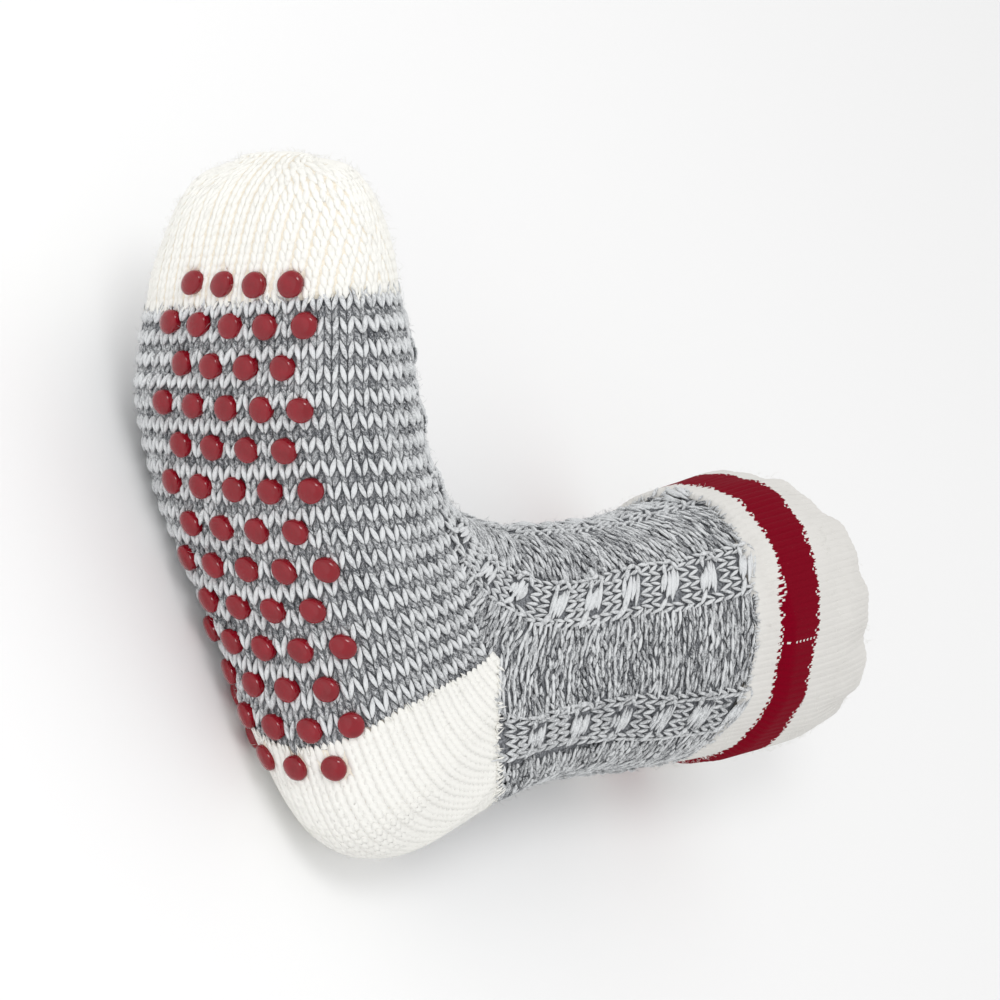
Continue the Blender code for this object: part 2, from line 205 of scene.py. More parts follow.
def buildSkin():
    half = skin["halfGirth"]
    steps = np.linspace(-1, 1, 2 * half + 1)
    angle = math.pi * (1 - np.abs(steps)) * np.where(steps < 0, -1, 1)
    places = np.linspace(0, 1, skin["places"])
    outer, lengths = girthGrid(tubePoints(places, angle))
    ring = outer[0]
    index = np.arange(2 * half + 1)
    facing = ring[np.where(index >= half, 3 * half - index, half - index)]
    spread = np.linalg.norm(facing - ring, axis=1)
    tip = []
    for row in range(skin["tipRows"], 0, -1):
        share = 0.5 * row / skin["tipRows"]
        bulge = 4 * share * (1 - share) * (spread / spread.max()) ** 0.7 * wornForm["tipRound"]
        tip.append(ring * (1 - share) + facing * share + np.array([1.0, 0, 0]) * bulge[:, None])
    points = laidDown(np.concatenate([np.array(tip), outer]))
    points[..., 2] = np.maximum(points[..., 2], 0.0)
    alongStep, ringStep, normal = skinFrame(points)
    place = (np.arange(len(points)) - skin["tipRows"])[:, None] / (skin["places"] - 1)
    girth = steps[None, :]
    for atPlace, atGirth, halfAlong, halfAcross, turn, depth in folds:
        for side in (1, -1):
            row = round(atPlace * (skin["places"] - 1)) + skin["tipRows"]
            column = round((side * atGirth + 1) * half)
            x = (place - atPlace) * np.linalg.norm(alongStep[row, column]) * 1000
            away = (girth - side * atGirth + 1) % 2 - 1
            y = side * away * np.linalg.norm(ringStep[row, column]) * 1000
            cosine, sine = math.cos(math.radians(turn)), math.sin(math.radians(turn))
            along, across = (x * cosine + y * sine) / halfAlong, (y * cosine - x * sine) / halfAcross
            weight = np.exp(-(along ** 2) - across ** 2)
            if atGirth in (0, 1):
                weight = weight / 2
            points = points - normal * (weight * depth * 0.001)[..., None]
    points[..., 2] = np.maximum(points[..., 2], 0.0)
    alongStep, ringStep, normal = skinFrame(points)
    skin.update(points=points, normal=normal, alongStep=alongStep, ringStep=ringStep, lengths=lengths)
    skin["soleRun"] = np.concatenate([[0], np.cumsum(np.linalg.norm(np.diff(outer[:, half], axis=0), axis=1))])


def onSkin(place, girth, what="points"):
    grid = skin[what]
    place, girth = np.broadcast_arrays(np.asarray(place, float), np.asarray(girth, float))
    row = np.clip(place * (skin["places"] - 1) + skin["tipRows"], 0, len(grid) - 1.001)
    column = np.clip(((girth + 1) % 2) * skin["halfGirth"], 0, grid.shape[1] - 1.001)
    i, j = row.astype(int), column.astype(int)
    u, v = (row - i)[..., None], (column - j)[..., None]
    near = grid[i, j] * (1 - u) + grid[i + 1, j] * u
    far = grid[i, j + 1] * (1 - u) + grid[i + 1, j + 1] * u
    return near * (1 - v) + far * v


def unit(vectors):
    return vectors / (np.linalg.norm(vectors, axis=-1, keepdims=True) + 1e-12)


def normalAt(place, girth):
    return unit(onSkin(place, girth, "normal"))


def metresPerGirth(place, girth):
    return np.linalg.norm(onSkin(place, girth, "ringStep"), axis=-1)


def metresPerPlace(place, girth):
    return np.linalg.norm(onSkin(place, girth, "alongStep"), axis=-1)


buildSkin()
print("skin ready:", skin["points"].shape)

# Where one colour or stitch ends and the next begins: girth, place
edges = {
    "toeEdge": ((-1, .134), (-.65, .136), (-.30, .1289), (-.06, .1193), (.145, .1146), (.315, .1122),
                (.45, .1169), (.65, .1289), (1, .134)),
    "soleEnd": ((0, .4378), (.135, .432), (.255, .4296), (.37, .439), (.46, .453), (.52, .463),
                (.6, .4665), (1, .4665)),
    "legStart": ((0, .602), (.17, .594), (.29, .551), (.395, .518), (.475, .494), (.535, .475),
                 (.6, .4675), (1, .4675)),
    "greyEnd": ((0, .806), (.30, .8138), (.415, .8162), (.515, .821), (.665, .8305), (.775, .8473),
                (.88, .8616), (1, .865)),
    "redStart": ((0, .860), (.18, .856), (.31, .852), (.45, .852), (.60, .8592), (.745, .8735),
                 (.875, .890), (1, .897)),
    "redEnd": ((0, .912), (.12, .908), (.305, .8974), (.435, .8974), (.55, .9093), (.705, .9308),
               (.855, .9594), (1, .972)),
}
# Where the sole's V stitches end at the side: place, girth
soleSide = ((.10, .64), (.13, .63), (.19, .59), (.28, .60), (.36, .60), (.41, .545), (.47, .525))


def edge(name, girth):
    table = np.array(edges[name])
    return np.interp(girth if table[0, 0] < 0 else np.abs(girth), table[:, 0], table[:, 1])


def footPlace(row, girth):  # courses of the foot, from 0 at the toe's edge to footRows where the heel begins
    start, end = edge("toeEdge", girth), edge("soleEnd", girth)
    return start + (end - start) * row / knit["footRows"]


def legPlace(row, girth):
    start, end = edge("legStart", girth), edge("greyEnd", girth)
    return start + (end - start) * row / knit["legRows"]


knit = {"footRows": 36, "legRows": 36, "toeRows": 17, "soleWales": 16.5}


# Seats of strands that each run between two points of the skin
def strands(placeA, girthA, placeB, girthB, width, thick, tone, lift=0.0, rise=0.0):
    placeA, girthA, placeB, girthB, width, thick, tone, lift, rise = np.broadcast_arrays(
        placeA, girthA, placeB, girthB, width, thick, tone, lift, rise)
    middlePlace, middleGirth = (placeA + placeB) / 2, (girthA + girthB) / 2
    normal = normalAt(middlePlace, middleGirth)
    start = onSkin(placeA, girthA) + normal * rise[..., None]
    end = onSkin(placeB, girthB) - normal * rise[..., None]
    reach = end - start
    length = np.linalg.norm(reach, axis=-1)
    spot = onSkin(middlePlace, middleGirth) + normal * (lift - 0.35 * thick)[..., None]
    size = np.stack([length, width, thick], -1)
    seats = {"spot": spot, "onward": unit(reach), "lift": normal, "size": size, "tone": tone}
    return {key: value.reshape((-1, 3) if value.ndim > tone.ndim else -1) for key, value in seats.items()}


def joined(*groups):
    return {key: np.concatenate([group[key] for group in groups]) for key in groups[0]}


def kept(seats, mask):
    return {key: value[np.asarray(mask).reshape(-1)] for key, value in seats.items()}


# Two leaves for each V stitch, with its point towards the cuff
def vStitches(placeOf, row, girth, step, tone, shape, lift=0.0):
    row, girth, step, tone, lift = np.broadcast_arrays(row, girth, step, tone, lift)
    waleWidth = metresPerGirth(placeOf(row + 0.5, girth), girth) * step
    found = []
    for side in (-1, 1):
        point = girth + (shape["lean"] + side * shape["point"]) * step
        mouth = girth + side * shape["mouth"] * step
        found.append(strands(placeOf(row + 0.5 + shape["reach"], point), point,
                             placeOf(row + 0.5 - shape["reach"], mouth), mouth,
                             waleWidth * shape["width"], shape["thick"], tone, lift, shape["rise"]))
    return joined(*found)


# One yarn leaf along X, 1 long, 1 wide and 1 thick, with its length and its turn as a UV map
def leafMesh(name, around=6, stations=(0.0, 0.13, 0.37, 0.63, 0.87, 1.0), bow=0.12):
    points, faces, strand = [], [], []
    for s in stations[1:-1]:
        girth = math.sin(math.pi * s) ** 0.75
        for k in range(around):
            turn = 2 * math.pi * (k + 0.5) / around
            drop = bow * (1 - 4 * (s - 0.5) ** 2) - bow / 2
            points.append((s - 0.5, 0.5 * girth * math.cos(turn), 0.5 * girth * math.sin(turn) + drop))
    rings = len(stations) - 2
    tips = rings * around
    points += [(-0.5, 0, -bow / 2), (0.5, 0, -bow / 2)]
    for r in range(rings - 1):
        for k in range(around):
            near, far, after = r * around, (r + 1) * around, (k + 1) % around
            faces.append((near + k, near + after, far + after, far + k))
            u0, u1, v0, v1 = stations[r + 1], stations[r + 2], k / around, (k + 1) / around
            strand.append(((u0, v0), (u0, v1), (u1, v1), (u1, v0)))
    for k in range(around):
        after, v0, v1 = (k + 1) % around, k / around, (k + 1) / around
        faces.append((after, k, tips))
        strand.append(((stations[1], v1), (stations[1], v0), (0, (k + 0.5) / around)))
        faces.append((tips - around + k, tips - around + after, tips + 1))
        strand.append(((stations[-2], v0), (stations[-2], v1), (1, (k + 0.5) / around)))
    mesh = bpy.data.meshes.new(name)
    mesh.from_pydata(points, [], [tuple(reversed(face)) for face in faces])
    corners = np.array([corner for face in strand for corner in reversed(face)], np.float32)
    mesh.uv_layers.new(name="strand").data.foreach_set("uv", corners.reshape(-1))
    mesh.shade_smooth()
    return mesh


def stitchTree():  # lays one leaf on every seat
    tree = bpy.data.node_groups.new("layStitches", "GeometryNodeTree")
    sockets = {}
    for label, kind in (("Seats", "Geometry"), ("Leaf", "Object"), ("Yarn", "Material"),
                        ("Sway", "Float"), ("Unevenness", "Float"), ("Seed", "Int")):
        sockets[label] = tree.interface.new_socket(label, in_out="INPUT", socket_type="NodeSocket" + kind)
    tree.interface.new_socket("Knit", in_out="OUTPUT", socket_type="NodeSocketGeometry")
    given, end = tree.nodes.new("NodeGroupInput").outputs, tree.nodes.new("NodeGroupOutput")

    def named(label):
        reader = addNode(tree, "GeometryNodeInputNamedAttribute", {"data_type": "FLOAT_VECTOR"}, {"Name": label})
        return reader.outputs["Attribute"]

    def vectors(operation, inputs):
        return addNode(tree, "ShaderNodeVectorMath", {"operation": operation}, inputs).outputs[0]

    turn = addNode(tree, "FunctionNodeAxesToRotation", {"primary_axis": "X", "secondary_axis": "Z"},
                   {"Primary Axis": named("onward"), "Secondary Axis": named("lift")})
    chance = addNode(tree, "FunctionNodeRandomValue", {"data_type": "FLOAT"},
                     {2: -1.0, 3: 1.0, "Seed": given["Seed"]})
    sway = mathNode(tree, "MULTIPLY", chance.outputs[1], given["Sway"])
    swing = addNode(tree, "FunctionNodeAxisAngleToRotation", inputs={"Axis": (0, 0, 1), "Angle": sway})
    rotate = addNode(tree, "FunctionNodeRotateRotation", {"rotation_space": "LOCAL"},
                     {"Rotation": turn.outputs[0], "Rotate By": swing.outputs[0]})
    uneven = addNode(tree, "FunctionNodeRandomValue", {"data_type": "FLOAT_VECTOR"},
                     {0: (-1, -1, -1), 1: (1, 1, 1), "Seed": given["Seed"]})
    scaled = vectors("SCALE", {0: uneven.outputs[0], "Scale": given["Unevenness"]})
    sized = vectors("MULTIPLY", {0: vectors("ADD", {0: scaled, 1: (1, 1, 1)}), 1: named("size")})
    leaf = addNode(tree, "GeometryNodeObjectInfo", inputs={"Object": given["Leaf"]})
    place = addNode(tree, "GeometryNodeInstanceOnPoints", inputs={
        "Points": given["Seats"], "Instance": leaf.outputs["Geometry"],
        "Rotation": rotate.outputs[0], "Scale": sized})
    realize = addNode(tree, "GeometryNodeRealizeInstances", inputs={0: place.outputs[0]})
    dye = addNode(tree, "GeometryNodeSetMaterial", inputs={
        "Geometry": realize.outputs[0], "Material": given["Yarn"]})
    tree.links.new(dye.outputs[0], end.inputs[0])
    tree["inputs"] = {label: item.identifier for label, item in sockets.items() if label != "Seats"}
    return tree


def newObject(name, data):
    made = bpy.data.objects.new(name, data)
    bpy.context.scene.collection.objects.link(made)
    return made


def vertexValues(mesh, key):
    values = np.empty(len(mesh.vertices) * 3, np.float32)
    mesh.vertices.foreach_get(key, values)
    return values.reshape(-1, 3)


def layStitches(name, seats, leaf, material, sway, unevenness, seed):
    mesh = bpy.data.meshes.new(name + "Seats")
    mesh.vertices.add(len(seats["tone"]))
    mesh.vertices.foreach_set("co", seats["spot"].astype(np.float32).reshape(-1))
    directions = ("onward", "lift", "size")
    for key in directions:
        made = mesh.attributes.new(key, "FLOAT_VECTOR", "POINT")
        made.data.foreach_set("vector", seats[key].astype(np.float32).reshape(-1))
    mesh.attributes.new("tone", "FLOAT", "POINT").data.foreach_set("value", seats["tone"].astype(np.float32))
    seatsObject = newObject(name + "Seats", mesh)
    modifier = seatsObject.modifiers.new("layStitches", "NODES")
    modifier.node_group = stitches
    values = {"Leaf": leaf, "Yarn": material, "Sway": sway, "Unevenness": unevenness, "Seed": seed}
    for label, identifier in stitches["inputs"].items():
        modifier[identifier] = values[label]
    graph = bpy.context.evaluated_depsgraph_get()
    result = bpy.data.meshes.new_from_object(seatsObject.evaluated_get(graph))
    bpy.data.objects.remove(seatsObject)
    result.name = name
    for key in directions:
        if key in result.attributes:
            result.attributes.remove(result.attributes[key])
    return finishPiece(name, result)


def finishPiece(name, mesh):  # nothing sinks into the floor
    points = vertexValues(mesh, "co")
    points[:, 2] = np.maximum(points[:, 2], floorGap)
    mesh.vertices.foreach_set("co", points.reshape(-1))
    mesh.update()
    piece = newObject(name, mesh)
    mesh.calc_loop_triangles()
    print("  ", name, len(mesh.loop_triangles), "triangles")
    return piece


def sheetMesh(name, grid, ends=(None, None)):  # closed rings as quads, with a pole at either end where given
    rings, around = grid.shape[:2]
    i, k = np.meshgrid(np.arange(rings - 1), np.arange(around), indexing="ij")
    near, far, after = i * around, (i + 1) * around, (k + 1) % around
    quads = np.stack([near + k, near + after, far + after, far + k], -1).reshape(-1, 4)
    points = grid.reshape(-1, 3)
    faces = quads.tolist()
    for end, ring in zip(ends, (0, rings - 1)):
        if end is not None:
            points = np.vstack([points, end])
            pole = len(points) - 1
            for n in range(around):
                pair = (ring * around + (n + 1) % around, ring * around + n)
                faces.append((*(pair if ring == 0 else pair[::-1]), pole))
    mesh = bpy.data.meshes.new(name)
    mesh.from_pydata(points.tolist(), [], faces)
    corners = np.zeros((len(mesh.loops), 2), np.float32)
    u, v = np.stack([k, k + 1, k + 1, k], -1) / around, np.stack([i, i, i + 1, i + 1], -1) / rings
    corners[:4 * len(quads)] = np.stack([u, v], -1).reshape(-1, 2)
    mesh.uv_layers.new(name="weave").data.foreach_set("uv", corners.reshape(-1))
    mesh.shade_smooth()
    return mesh


# Half a turn over the cuff's edge, from outside to inside
def rimRings(outerEdge, normal, along, radius, steps, bulge=1.0):
    middle = outerEdge - normal * radius
    rings = []
    for step in range(1, steps):
        angle = math.pi * step / steps
        rings.append(middle + normal * math.cos(angle) * radius + along * math.sin(angle) * radius * bulge)
    return np.array(rings)


# Materials
def setInputs(tree, node, inputs):  # a socket is linked, and anything else is set on the input
    for key, value in inputs.items():
        if isinstance(value, bpy.types.NodeSocket):
            tree.links.new(value, node.inputs[key])
        else:
            node.inputs[key].default_value = value
    return node


def addNode(tree, kind, settings=None, inputs=None):
    made = tree.nodes.new(kind)
    for key, value in (settings or {}).items():
        setattr(made, key, value)
    return setInputs(tree, made, inputs or {})


def mathNode(tree, operation, *values, clamp=False):
    settings = {"operation": operation, "use_clamp": clamp}
    return addNode(tree, "ShaderNodeMath", settings, dict(enumerate(values))).outputs[0]


def maths(tree):  # times, plus, minus, and times then plus, in one tree
    def sumOf(operation):
        return lambda *values, clamp=False: mathNode(tree, operation, *values, clamp=clamp)
    return [sumOf(operation) for operation in ("MULTIPLY", "ADD", "SUBTRACT", "MULTIPLY_ADD")]


def mixColour(tree, share, first, second):
    made = addNode(tree, "ShaderNodeMix", {"data_type": "RGBA"}, {0: share})
    for key, value in ((6, first), (7, second)):
        setInputs(tree, made, {key: value if isinstance(value, bpy.types.NodeSocket) else (*value, 1)})
    return made.outputs[2]


def noise(tree, where, scale, detail, rough=0.5):
    inputs = {"Vector": where, "Scale": scale, "Detail": detail, "Roughness": rough}
    return addNode(tree, "ShaderNodeTexNoise", inputs=inputs).outputs[0]


def mapRange(tree, value, **limits):
    return addNode(tree, "ShaderNodeMapRange", inputs={"Value": value, **limits}).outputs[0]


def relief(tree, height, strength, distance):
    inputs = {"Strength": strength, "Distance": distance, "Height": height}
    return addNode(tree, "ShaderNodeBump", inputs=inputs).outputs[0]


def splitVector(tree, vector):
    return addNode(tree, "ShaderNodeSeparateXYZ", inputs={0: vector}).outputs


def combined(tree, *values):
    return addNode(tree, "ShaderNodeCombineXYZ", inputs=dict(enumerate(values))).outputs[0]


def objectSpot(tree):
    return addNode(tree, "ShaderNodeTexCoord").outputs["Object"]


def attribute(tree, name, output="Fac"):
    return addNode(tree, "ShaderNodeAttribute", {"attribute_name": name}).outputs[output]


def uvMap(tree, name):
    return addNode(tree, "ShaderNodeUVMap", {"uv_map": name}).outputs[0]


def yarnGroup():  # the fibres and the twist that all yarns share; every strand has its own, by its tone
    group = bpy.data.node_groups.new("yarnFibres", "ShaderNodeTree")
    group.interface.new_socket("Strand", in_out="INPUT", socket_type="NodeSocketVector")
    for label, value in (("Tone", 0.5), ("Turns", 2.5), ("Plies", 2.0), ("Streak", 1.0),
                         ("Fuzz Scale", 1900.0), ("Relief", 0.5)):
        group.interface.new_socket(label, in_out="INPUT", socket_type="NodeSocketFloat").default_value = value
    for label, kind in (("Ply", "Float"), ("Streaks", "Float"), ("Fuzz", "Float"), ("Normal", "Vector")):
        group.interface.new_socket(label, in_out="OUTPUT", socket_type="NodeSocket" + kind)
    given, end = group.nodes.new("NodeGroupInput").outputs, group.nodes.new("NodeGroupOutput")
    times, plus, _, timesPlus = maths(group)
    run, turn = splitVector(group, given["Strand"])[:2]
    spin = plus(times(run, given["Turns"]), times(turn, given["Plies"]))
    ply = timesPlus(mathNode(group, "SINE", times(spin, 2 * math.pi)), 0.5, 0.5)
    angle = times(plus(turn, times(run, 0.6)), 2 * math.pi)
    across = [times(mathNode(group, wave, angle), given["Streak"]) for wave in ("COSINE", "SINE")]
    along = plus(times(run, 4.0), times(given["Tone"], 173.0))  # far apart for every tone
    streaks = noise(group, combined(group, *across, along), 1.0, 3.0, 0.65)
    fuzz = noise(group, objectSpot(group), given["Fuzz Scale"], 3.0, 0.7)
    height = plus(times(ply, 0.35), plus(times(streaks, 0.8), times(fuzz, 0.8)))
    normal = relief(group, height, given["Relief"], 0.0005)
    for label, socket in (("Ply", ply), ("Streaks", streaks), ("Fuzz", fuzz), ("Normal", normal)):
        group.links.new(socket, end.inputs[label])
    return group


def newMaterial(name):
    material = bpy.data.materials.new(name)
    material.use_nodes = True
    tree = material.node_tree
    return material, tree, tree.nodes["Principled BSDF"]


def fibres(tree, **inputs):  # the shared yarn group with a yarn's own values
    made = addNode(tree, "ShaderNodeGroup", {"node_tree": yarnFibres})
    shared = {"Strand": uvMap(tree, "strand"), "Tone": attribute(tree, "tone")}
    return setInputs(tree, made, {**shared, **inputs}).outputs


raggLook = {"dark": (0.085, 0.090, 0.101), "light": (0.76, 0.775, 0.785),
            "darkFleck": 3.2, "lightFleck": 1.5, "ply": 0.10}
ivoryLook = {"light": (0.93, 0.925, 0.89), "shade": (0.83, 0.81, 0.75)}
# The cuff's ivory is the same wool as the toe's and heel's, set darker: painted shade on the cuff and its rim
cuffLookPaintedShade = {"light": (0.80, 0.785, 0.755), "shade": (0.66, 0.645, 0.615)}
redLook = {"deep": (0.10, 0.0, 0.004), "bright": (0.29, 0.0, 0.016)}
stripeLook = {  # how the red stripe frays at the ribs, in millimetres and shares of a rib
    "fray": 4.0, "sharp": 3.0, "notchFrom": 0.24, "notch": (1.8, 0.5),
    "speckAt": (1.2, 1.5), "speckSize": (0.40, 0.15), "joinRib": 86.5, "joinWidth": 0.15,
    "dashPitch": 0.42, "dashShare": 0.40,
}
gripLook = {"base": (0.28, 0.0, 0.010), "deep": (0.16, 0.0, 0.004)}


def raggYarn():  # dark strands carry pale flecks, pale strands hardly any
    material, tree, shader = newMaterial("raggYarn")
    times, plus, minus = maths(tree)[:3]
    out = fibres(tree, Turns=2.0, Streak=1.1, Relief=0.7)
    tone = attribute(tree, "tone")
    depth = mapRange(tree, tone, **{"To Min": raggLook["darkFleck"], "To Max": raggLook["lightFleck"]})
    fleck = times(minus(out["Streaks"], 0.5), depth)
    grain = times(minus(out["Fuzz"], 0.5), depth)
    ply = times(minus(out["Ply"], 0.5), raggLook["ply"])
    share = plus(plus(tone, fleck), plus(grain, ply), clamp=True)
    colour = mixColour(tree, share, raggLook["dark"], raggLook["light"])
    setInputs(tree, shader, {"Base Color": colour, "Normal": out["Normal"],
                             "Roughness": 0.92, "Specular IOR Level": 0.2, "Sheen Weight": 0.08})
    return material


def ivoryYarn():
    material, tree, shader = newMaterial("ivoryYarn")
    times, plus = maths(tree)[:2]
    out = fibres(tree, Turns=2.0, Streak=0.9, Relief=0.4)
    share = plus(times(out["Streaks"], 0.7), times(out["Fuzz"], 0.7), clamp=True)
    colour = mixColour(tree, share, ivoryLook["shade"], ivoryLook["light"])
    setInputs(tree, shader, {"Base Color": colour, "Normal": out["Normal"],
                             "Roughness": 0.95, "Specular IOR Level": 0.15, "Sheen Weight": 0.10})
    return material


def groundKnit(name, shade, colour, ribbed=0.0):  # a fine knit of 55 wales and 230 courses behind the stitches
    material, tree, shader = newMaterial(name)
    times, plus, _, timesPlus = maths(tree)
    grain = noise(tree, objectSpot(tree), 1100.0, 3.0)
    share = mapRange(tree, grain, **{"From Min": 0.35, "From Max": 0.65})
    weave = splitVector(tree, uvMap(tree, "weave"))
    wales, courses = (mathNode(tree, "ABSOLUTE", mathNode(tree, "SINE", times(weave[way], count * math.pi)))
                      for way, count in enumerate((55, 230)))
    height = timesPlus(plus(wales, times(courses, 0.5)), ribbed, grain)
    setInputs(tree, shader, {"Base Color": mixColour(tree, share, shade, colour), "Roughness": 0.96,
                             "Normal": relief(tree, height, 0.6, 0.0006)})
    return material


def cuffYarn():  # ivory rib with one red stripe, its edges uneven from rib to rib
    material, tree, shader = newMaterial("cuffYarn")
    times, plus, minus, timesPlus = maths(tree)

    def below(value, limit):
        return mathNode(tree, "LESS_THAN", value, limit)

    def above(value, limit):
        return mathNode(tree, "GREATER_THAN", value, limit)

    where = objectSpot(tree)
    ribs, fromStart, fromEnd = splitVector(tree, attribute(tree, "stripe", "Vector"))
    rib = mathNode(tree, "FLOOR", ribs)
    within = mathNode(tree, "ABSOLUTE", minus(mathNode(tree, "FRACT", ribs), 0.5))
    frayed = noise(tree, combined(tree, times(ribs, 4.0), times(fromStart, 0.35)), 1.0, 2.0)
    fray = times(minus(frayed, 0.5), stripeLook["fray"])

    def edgeMask(run, offset):  # 1 inside the stripe, run in millimetres from its edge
        drawn = addNode(tree, "ShaderNodeTexWhiteNoise", {"noise_dimensions": "1D"}, {"W": plus(rib, offset)})
        luck = drawn.outputs["Value"]
        notch = times(above(within, stripeLook["notchFrom"]), timesPlus(luck, *stripeLook["notch"]))
        plain = timesPlus(minus(plus(run, fray), notch), stripeLook["sharp"], 0.5, clamp=True)
        gap = mathNode(tree, "ABSOLUTE", minus(run, timesPlus(luck, *stripeLook["speckAt"])))
        long, wide = stripeLook["speckSize"]
        speck = times(below(gap, long), below(within, wide))
        return times(plain, minus(1.0, times(speck, above(luck, 0.5))))

    mask = times(edgeMask(fromStart, 0.0), edgeMask(fromEnd, 0.37))
    atJoin = below(mathNode(tree, "ABSOLUTE", minus(ribs, stripeLook["joinRib"])), stripeLook["joinWidth"])
    dash = below(mathNode(tree, "FRACT", times(fromStart, stripeLook["dashPitch"])), stripeLook["dashShare"])
    mask = times(mask, minus(1.0, times(atJoin, dash)))
    fibre = noise(tree, where, 2600.0, 4.0, 0.7)
    broad = noise(tree, where, 60.0, 2.0)
    share = plus(times(fibre, 0.6), times(broad, 0.5), clamp=True)
    # Painted shade: the cuff's ivory is darker than the same wool at the toe and heel
    ivoryWoolPaintedShade = mixColour(tree, share, cuffLookPaintedShade["shade"], cuffLookPaintedShade["light"])
    redWool = mixColour(tree, fibre, redLook["deep"], redLook["bright"])
    lines = times(mathNode(tree, "SINE", times(ribs, 4 * math.pi)), 0.22)
    setInputs(tree, shader, {"Base Color": mixColour(tree, mask, ivoryWoolPaintedShade, redWool),
                             "Normal": relief(tree, plus(fibre, lines), 0.32, 0.0006),
                             "Roughness": 0.95, "Specular IOR Level": 0.05, "Sheen Weight": 0.02})
    return material


def gripSilicone():
    material, tree, shader = newMaterial("gripSilicone")
    broad = noise(tree, objectSpot(tree), 220.0, 2.0)
    setInputs(tree, shader, {"Base Color": mixColour(tree, broad, gripLook["deep"], gripLook["base"]),
                             "Normal": relief(tree, broad, 0.18, 0.0008),
                             "Roughness": mapRange(tree, broad, **{"To Min": 0.16, "To Max": 0.28}),
                             "Specular IOR Level": 0.05, "Coat Weight": 0.95, "Coat Roughness": 0.06})
    return material


yarnFibres = yarnGroup()
ragg, ivory, cuffWool, silicone = raggYarn(), ivoryYarn(), cuffYarn(), gripSilicone()
# Grey ground: partly the knit behind the stitches, partly painted shade, darker than the ragg yarn so the gaps
# between stitches look shadowed
raggGroundPaintedShade = groundKnit("raggGroundPaintedShade", (0.078, 0.082, 0.092), (0.31, 0.32, 0.34))
# Ivory ground: partly the knit behind the stitches, partly painted shade, darker and warmer than the ivory yarn so
# the gaps look shadowed
ivoryGroundPaintedShade = groundKnit("ivoryGroundPaintedShade", (0.80, 0.73, 0.61), (0.88, 0.83, 0.73), 0.6)
raggLining = groundKnit("raggLining", (0.16, 0.165, 0.175), (0.50, 0.51, 0.53), 1.0)
stitches = stitchTree()
leafFine = bpy.data.objects.new("leafFine", leafMesh("leafFine"))
dice = np.random.default_rng(11)
print("materials and stitch tree ready")

heel = {"course": 0.0037, "rows": 24, "edge": 0.55,
        "stitch": {"lean": 0.0, "point": 0.16, "mouth": 0.28, "reach": 1.15,
                   "width": 0.74, "thick": 0.0003, "rise": 0.0}}
cuff = {"ribs": 116, "perRib": 6, "outerRows": 40, "rimSteps": 10, "innerRows": 8, "innerDepth": 0.07,
        "ribHeight": 0.0003, "curl": 0.0016, "curlFrom": 0.950}

# The ground that closes the gaps between the stitches: outside, rim and lining as one shell. Outside, it is partly
# the knit behind the stitches and partly painted shade, coloured darker than the yarn over it.
ground = {"around": 176, "outerRings": 150, "innerRings": 44, "rimSteps": 7,
          "liningFrom": 0.022, "ivoryLining": 0.82,
          "greyDepth": 0.0013, "ivoryDepth": 0.0003, "heelDepth": 0.00006, "cuffDepth": 0.0022}


def inHeel(place, girth):
    return (place > edge("soleEnd", girth)) & (place < edge("legStart", girth)) & (np.abs(girth) < heel["edge"])


def curlAt(place, girth):  # how far the cuff's last rows bend inward, least at the front
    share = np.clip((place - cuff["curlFrom"]) / (1 - cuff["curlFrom"]), 0, 1) ** 2
    return cuff["curl"] * share * (1 - 0.85 * easeIn((np.abs(girth) - 0.55) / 0.3))


def inGrey(place, girth):
    return (place > edge("toeEdge", girth)) & (place < edge("greyEnd", girth)) & ~inHeel(place, girth)


def makeGround():
    girths = -1 + 2 * np.arange(ground["around"]) / ground["around"]
    places = np.linspace(skin["low"] + 0.0004, 1.0, ground["outerRings"])
    place, girth = np.meshgrid(places, girths, indexing="ij")
    normal = normalAt(place, girth)
    depth = np.where(place > edge("greyEnd", girth), ground["cuffDepth"], ground["ivoryDepth"])
    depth = np.where(inGrey(place, girth), ground["greyDepth"], depth)
    depth = np.where(inHeel(place, girth), ground["heelDepth"], depth)
    outer = onSkin(place, girth) - normal * (depth + curlAt(place, girth))[..., None]
    thick = wornForm["wall"] + wornForm["cuffProud"]
    along = unit(onSkin(np.full(len(girths), 0.9999), girths, "alongStep"))
    radius = ((thick - ground["cuffDepth"] - curlAt(np.ones(len(girths)), girths)) / 2)[:, None]
    rim = rimRings(outer[-1], normal[-1], along, radius, ground["rimSteps"])
    innerPlaces = np.linspace(1.0, ground["liningFrom"], ground["innerRings"])
    place, girth = np.meshgrid(innerPlaces, girths, indexing="ij")
    proud = np.interp(place, (0, 0.80, 0.84, 1), (0, 0, 1, 1))[..., None] * wornForm["cuffProud"]
    inner = onSkin(place, girth) - normalAt(place, girth) * (wornForm["wall"] + proud)
    grid = np.concatenate([outer, rim, inner])
    mesh = sheetMesh("sockGround", grid, ends=(outer[0].mean(axis=0), inner[-1].mean(axis=0)))
    for material in (ivoryGroundPaintedShade, raggGroundPaintedShade, raggLining):
        mesh.materials.append(material)
    ring, column = np.divmod(np.arange((len(grid) - 1) * ground["around"]), ground["around"])
    outside = ring < ground["outerRings"] - 1
    cellPlace = np.where(outside, places[np.minimum(ring, len(places) - 1)] + (places[1] - places[0]) / 2, 0)
    cellGirth = girths[column] + 1.0 / ground["around"]
    innerSpan = (ground["outerRings"] + ground["rimSteps"] - 2, len(grid) - 1)
    greyLining = ~outside & (np.interp(ring, innerSpan, (1.0, ground["liningFrom"])) < ground["ivoryLining"])
    slots = np.zeros(len(mesh.polygons), np.int32)
    slots[:len(ring)] = np.where(outside & inGrey(cellPlace, cellGirth), 1, np.where(greyLining, 2, 0))
    mesh.polygons.foreach_set("material_index", slots)
    return finishPiece("sockGround", mesh)


sockGround = makeGround()

